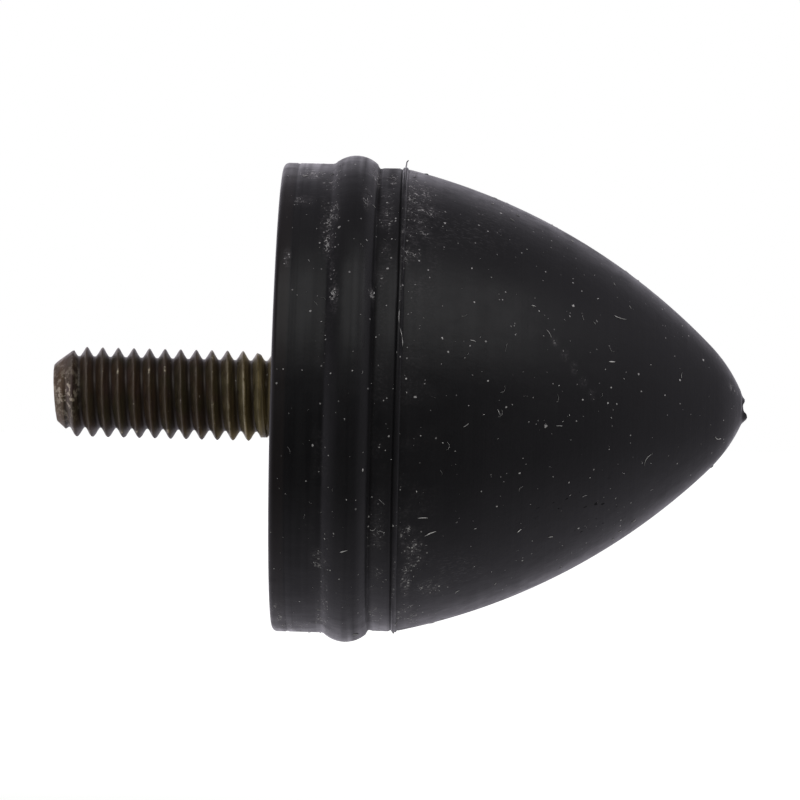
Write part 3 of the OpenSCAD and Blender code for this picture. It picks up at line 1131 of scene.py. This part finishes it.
# %% Strew the lint
def strew(name, fibres, chips, thickness, scale, seed):
    """So many fibres and chips to a square metre. thickness is a fibre's radius in mm."""
    strewn = new_piece(name)
    shape_with(strewn, scatter_lint, {
        "Host": rubber_body, "Fibres": fibres, "Chips": chips, "Thickness": thickness * MM,
        "Scale": scale, "Seed": seed, "Finish": lint_pale})
    settle(strewn, sharp=60, merge=1e-9)
    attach(strewn, "root")


strew("lint", 0.06e6, 0.16e6, 0.016, 1.0, 7)
strew("coarse_lint", 0.014e6, 0.022e6, 0.028, 1.5, 3)

# %% [markdown]
# A few fibres are longer than the rest, and the eye goes to them first. They are
# placed one by one. Each lies on the rubber, so its points take their radius from the
# section at their own distance.

# %% The long fibres
# Shares of its thickness that a fibre has from one end to the other
TAPER = (0.15, 0.5, 0.7, 0.65, 0.55, 0.4, 0.1)

# Distance, angle, length, lean, bend, and the radius that TAPER scales
LONG_FIBRES = [
    (7.75, 20, 1.0, 90, 0.1, 0.035), (7.9, 15, 1.2, 100, -0.2, 0.03), (10, -35, 0.75, 20, 0.3, 0.045),
    (9.5, -30, 0.6, -5, 0.1, 0.03), (4.7, -37, 0.5, 20, 0.0, 0.05), (12, -6, 0.45, 35, -0.2, 0.025),
    (14, -2.5, 0.4, 115, 0.1, 0.025), (12.3, 16, 0.4, -10, 0.3, 0.035), (16, 30, 0.3, 0, 0.2, 0.035),
    (17, 22, 0.6, -55, 0.2, 0.02), (21.5, 38, 0.8, 10, -0.35, 0.03), (21, 17, 0.4, 10, 0.0, 0.06),
    (15.5, -40, 0.35, 40, 0.0, 0.035), (17.5, -47, 0.35, -20, 0.2, 0.04),
    (23.5, -26, 0.85, 55, 0.8, 0.025), (25.5, 20, 0.4, 85, 0.2, 0.025)]


def fibre_points(distance, angle, length, lean, bend, thickness):
    """The points of a fibre on the rubber. lean is its slope in degrees, 0 along the axis."""
    radius = surface_radius(distance)
    points = []
    for i, thick in enumerate(TAPER):
        share = i / (len(TAPER) - 1) - 0.5
        forward, aside = share * length, (0.25 - share ** 2) * bend * length
        there = distance + (forward * cos(radians(lean)) - aside * sin(radians(lean)))
        rise = forward * sin(radians(lean)) + aside * cos(radians(lean))
        turn = angle + degrees(rise / radius)
        points.append((there, surface_radius(there) + 0.6 * thickness, turn, thickness * thick))
    return points


tubes = [(fibre_points(*fibre), 6) for fibre in LONG_FIBRES]
long_fibres = tube_piece("long_fibres", tubes, lint_pale)
settle(long_fibres, sharp=60, merge=1e-9)
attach(long_fibres, "root")

# %% [markdown]
# ## Camera
#
# A long lens from the side shows the section. It looks a little from the nose's
# side, and it is rolled so that the nose hangs slightly lower than the stud.

# %% Aim the camera
TARGET = Vector((7.78, 0.0, 0.005)) * MM
DISTANCE = 300 * MM
LENS = 210.7
YAW, ROLL = 0.6, 1.52

lens = bpy.data.cameras.new("camera")
lens.lens = LENS
lens.sensor_width = 36.0
lens.clip_start, lens.clip_end = 0.01, 20.0
camera = bpy.data.objects.new("camera", lens)
bpy.context.scene.collection.objects.link(camera)
view_way = Vector((-sin(radians(YAW)), cos(radians(YAW)), 0))
camera.location = TARGET - view_way * DISTANCE
level = view_way.to_track_quat("-Z", "Y").to_matrix().to_4x4()
camera.rotation_euler = (level @ Matrix.Rotation(radians(ROLL), 4, "Z")).to_euler()
bpy.context.scene.camera = camera
bpy.context.scene.view_settings.view_transform = "Standard"
print("camera at", [round(v / MM, 1) for v in camera.location])

# %% [markdown]
# ## Light
#
# The studio is white behind the mount and dark on the camera's side, so that
# black rubber keeps its depth and gets a pale edge all round. The world gives
# that by direction: each ramp says how the light changes from left to right,
# from front to back or from below to above. What the camera sees past the
# object is plain white.

# %% The world
def studio_world():
    world = bpy.data.worlds.new("studio")
    world.use_nodes = True
    bpy.context.scene.world = world
    tree = Tree(world.node_tree)
    x, y, z = tree.get("ShaderNodeTexCoord", output="Generated").parts()

    # The room in front is dark, and darker still on the upper left and overhead
    front = y.ramp(-0.85, 0.15, 0.06, 0.45) * z.ramp(0.62, 0.95, 1, 0.62)
    front = front * (1 - x.ramp(-0.9, -0.4, 0.55, 0) * z.ramp(0.1, 0.4))
    # The sweep glows behind the mount, twice as bright on the stud's side
    glow = y.ramp(0.66, 0.98, 0, 0.85) * x.ramp(-0.1, 0.12, 1.22, 0.62)
    sweep = (front + glow) * z.ramp(-0.45, 0.05, 0.7, 1)
    # On the nose's side it gets darker upwards
    tilt = x.ramp(0, 0.3) * z.ramp(-0.25, 0.35, 0.04, -0.3) * y.ramp(-0.1, 0.3)
    sweep = sweep * (tilt + 1.0)
    # The floor of the studio throws some light up
    below = z.ramp(-0.8, -0.2, 0.2, 0) * y.ramp(-0.95, 0.1) * x.ramp(0, 0.14, 1.4, 0.8)
    # A white wall stands on the stud's side, and a dim one on the nose's side
    left = x.ramp(-0.9, -0.35, 0.6, 0) * z.fall(0.15, 0.6)
    left = left * z.ramp(-0.75, -0.15, 0.12, 1) * y.ramp(-0.3, 0.35, 0.55, 1.4)
    right = x.ramp(0.4, 0.8, 0, 0.13)

    backdrop = world.node_tree.nodes["Background"]
    light = (sweep + below) + (left + right)
    tree.fill(backdrop, {"Color": (0.95, 0.905, 1.02, 1), "Strength": light})
    seen = tree.get("ShaderNodeBackground", {"Color": (1, 1, 1, 1), "Strength": 1.0})
    straight = tree.get("ShaderNodeLightPath", output="Is Camera Ray")
    both = {0: straight, 1: Value(tree, backdrop.outputs[0]), 2: seen}
    both = tree.get("ShaderNodeMixShader", both)
    tree.fill(world.node_tree.nodes["World Output"], {"Surface": both})
    print(f"{world.name}: {len(world.node_tree.nodes)} nodes")


studio_world()

# %% [markdown]
# One large softbox above and in front draws the broad highlight along the upper
# side. Its power follows from its size.

# %% The softbox
BOX_WIDTH, BOX_HEIGHT, BOX_DISTANCE = 1.0, 0.52, 0.62
BOX_MIDDLE = Vector((8, 0, 0)) * MM
# A radiance of 1 is as bright as a white wall
BOX_RADIANCE = 1.05

lamp = bpy.data.lights.new("softbox_above", "AREA")
lamp.shape = "RECTANGLE"
lamp.size, lamp.size_y = BOX_WIDTH, BOX_HEIGHT
lamp.energy = BOX_RADIANCE * BOX_WIDTH * BOX_HEIGHT * pi
softbox = bpy.data.objects.new("softbox_above", lamp)
bpy.context.scene.collection.objects.link(softbox)
box_way = Vector((0.15, -0.68, 0.73)).normalized()
softbox.location = BOX_MIDDLE + box_way * BOX_DISTANCE
softbox.rotation_euler = (-box_way).to_track_quat("-Z", "Y").to_euler()
softbox.visible_camera = False
print(f"softbox: {lamp.energy:.2f} W")

# %% [markdown]
# ## Floor
#
# The mount is held by its stud, so it hangs above the floor. The floor is pale
# and matt and takes the soft shadow. For camera rays it also glows a little, so
# that where it is fully lit it joins the white behind it without an edge.

# %% The floor
FLOOR_SIZE = 8.0
FLOOR_HEIGHT = -40 * MM

bpy.ops.mesh.primitive_plane_add(size=FLOOR_SIZE, location=(0, 0, FLOOR_HEIGHT))
floor = bpy.context.object
floor.name = "floor"
pale, floor_tree, floor_shader, floor_place = material("pale_floor")
tone = floor_place.noise(3).mix((0.79, 0.825, 0.745, 1), (0.81, 0.845, 0.765, 1))
far = floor_place.length().ramp(0.05, 0.32, 0.48, 0.9)
seen_straight = floor_tree.get("ShaderNodeLightPath", output="Is Camera Ray")
floor_tree.fill(floor_shader, {
    "Base Color": tone, "Roughness": 0.9, "Specular IOR Level": 0.0,
    "Emission Color": (1, 1, 1, 1), "Emission Strength": seen_straight * far})
floor.data.materials.append(pale)
floor.visible_glossy = False
print("floor at", round(FLOOR_HEIGHT / MM), "mm")

# %% [markdown]
